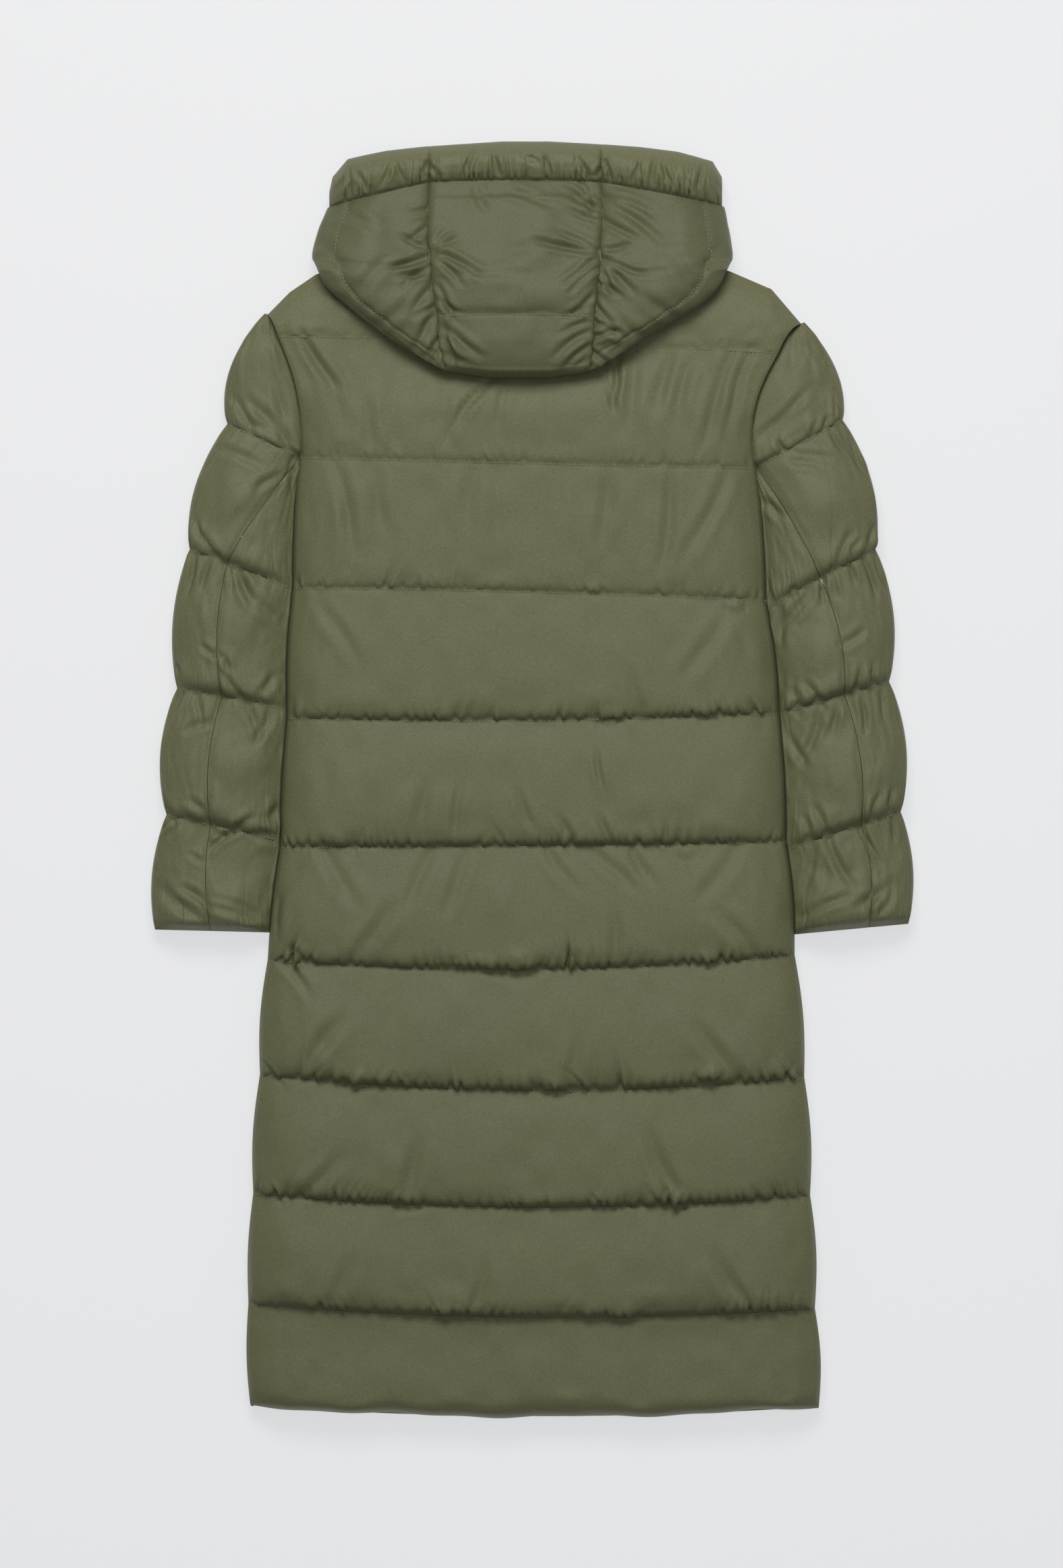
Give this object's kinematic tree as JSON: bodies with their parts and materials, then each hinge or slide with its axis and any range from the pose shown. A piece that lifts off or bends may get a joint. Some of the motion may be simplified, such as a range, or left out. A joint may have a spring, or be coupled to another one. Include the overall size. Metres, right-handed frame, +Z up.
{
  "type": "long puffer coat",
  "caption": "Long hooded puffer coat with quilted channels, lying flat on a surface with its back up and its sleeves at its sides.",
  "frame": {"origin": "under the middle of the coat's box, on the surface it lies on", "axes": "+Y from the hem towards the hood, +Z up out of the coat's back, +X towards its right sleeve as seen from above"},
  "size_m": [0.786, 1.321, 0.0765],
  "materials": {
    "shell": "matt plain-weave polyester with a slight sheen, filled",
    "zip": "matt"
  },
  "bodies": {
    "root": {"back_panel": "shell", "front_panel_left": "shell", "front_panel_right": "shell", "sleeve_left_outer": "shell", "sleeve_left_under": "shell", "sleeve_right_outer": "shell", "sleeve_right_under": "shell", "hood_centre": "shell", "hood_side_left": "shell", "hood_side_right": "shell", "hood_brim_left": "shell", "hood_brim_centre": "shell", "hood_brim_right": "shell", "front_zip": "zip", "zip_slider": "zip"}
  },
  "joints": []
}
